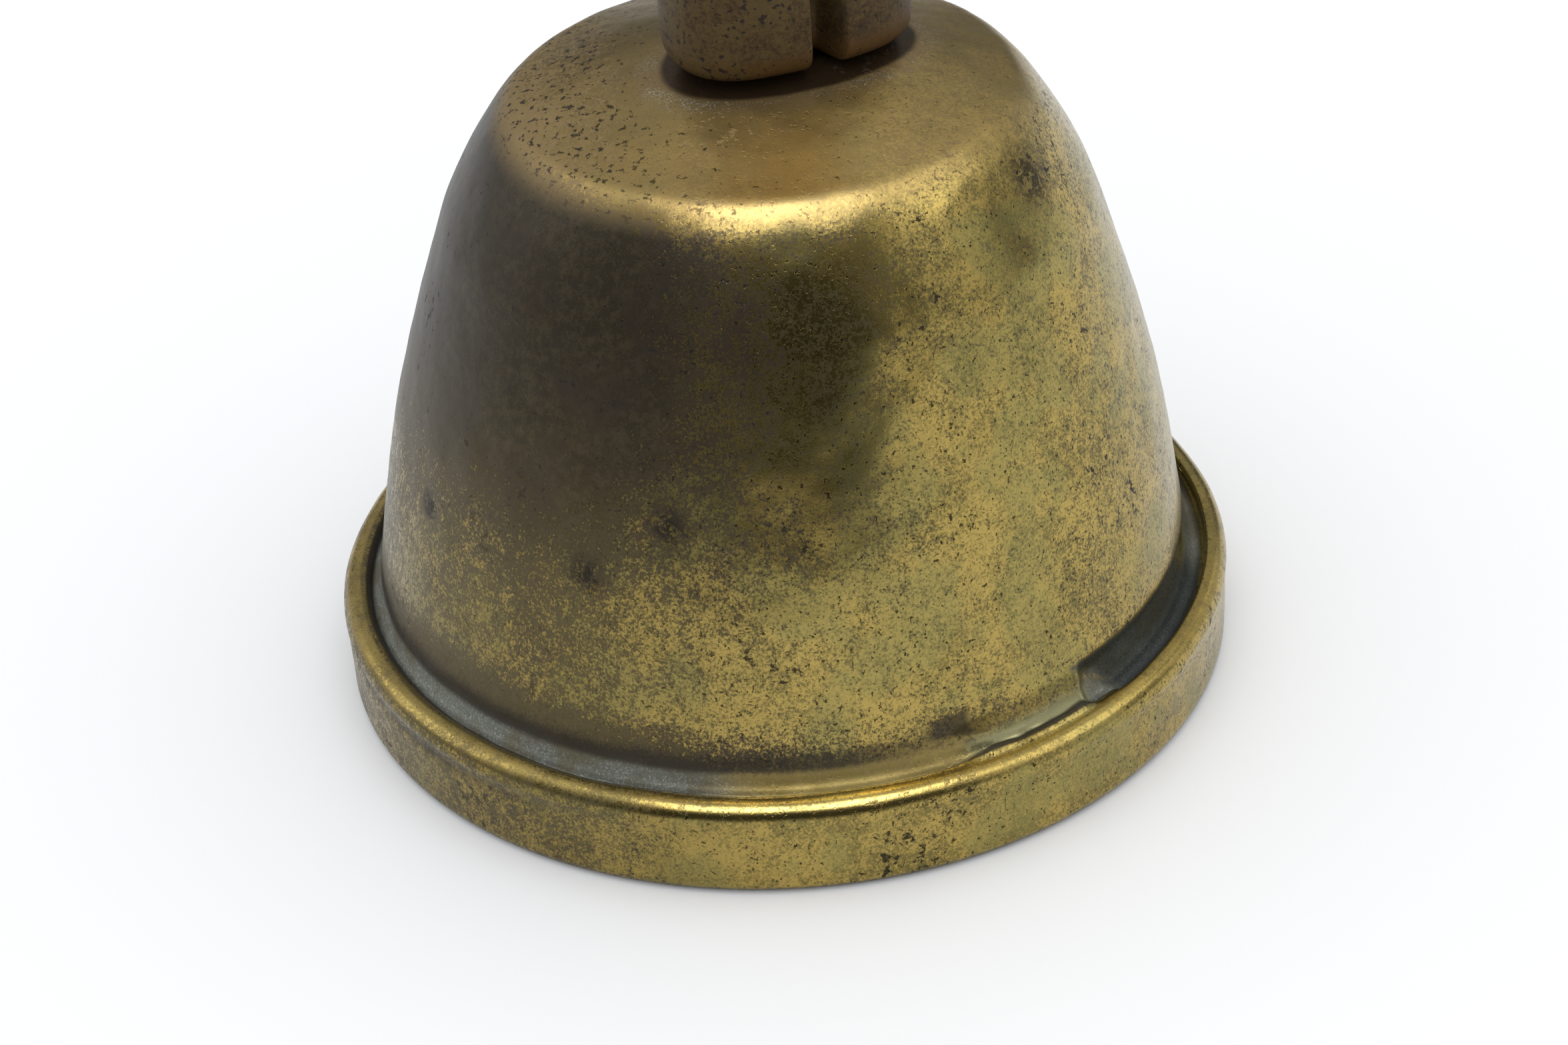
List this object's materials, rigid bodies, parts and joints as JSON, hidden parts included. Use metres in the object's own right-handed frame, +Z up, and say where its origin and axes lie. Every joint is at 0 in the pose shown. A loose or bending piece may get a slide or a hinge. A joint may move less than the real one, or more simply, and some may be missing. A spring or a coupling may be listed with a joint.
{
  "type": "hand bell",
  "caption": "Small aged cast-brass hand bell standing on its rim, with a moulded rim band, domed crown, cleft-footed turned handle and a clapper hung on a wire link.",
  "frame": {"origin": "centre of the rim, in the plane that the bell stands on", "axes": "+Z up through the crown and handle, -Y towards the viewer, +X to the viewer's right"},
  "size_m": [0.07, 0.07, 0.119],
  "materials": {
    "bell_brass": "aged cast brass, unlacquered, brown tarnish with rubbed golden patches, fine casting pits and green-grey deposit in the groove",
    "handle_brass": "aged cast brass, warmer and more worn, with heavier black casting pits",
    "fitting_brass": "dull tarnished sheet and bar brass",
    "clapper_brass": "tarnished turned brass with small bright strike marks",
    "iron_wire": "bent iron wire and rod, dark oxide with brown rust"
  },
  "bodies": {
    "bell": {"bell_shell": "bell_brass", "handle_casting": "handle_brass", "crown_shim": "fitting_brass", "crown_washer": "fitting_brass", "crown_nut": "fitting_brass", "hanger_eye_bolt": "iron_wire"},
    "link": {"suspension_link": "iron_wire"},
    "clapper": {"clapper_rod": "iron_wire", "clapper_ball": "clapper_brass"}
  },
  "joints": [
    {"name": "link_swing", "type": "hinge", "parent": "bell", "child": "link", "pos_m": [0.0009, -0.0004, 0.0401], "axis": [1, 0, 0], "range_deg": [-12, 12]},
    {"name": "clapper_swing", "type": "hinge", "parent": "link", "child": "clapper", "pos_m": [0.0009, -0.0004, 0.03525], "axis": [0, 1, 0], "range_deg": [-47, 50]}
  ]
}
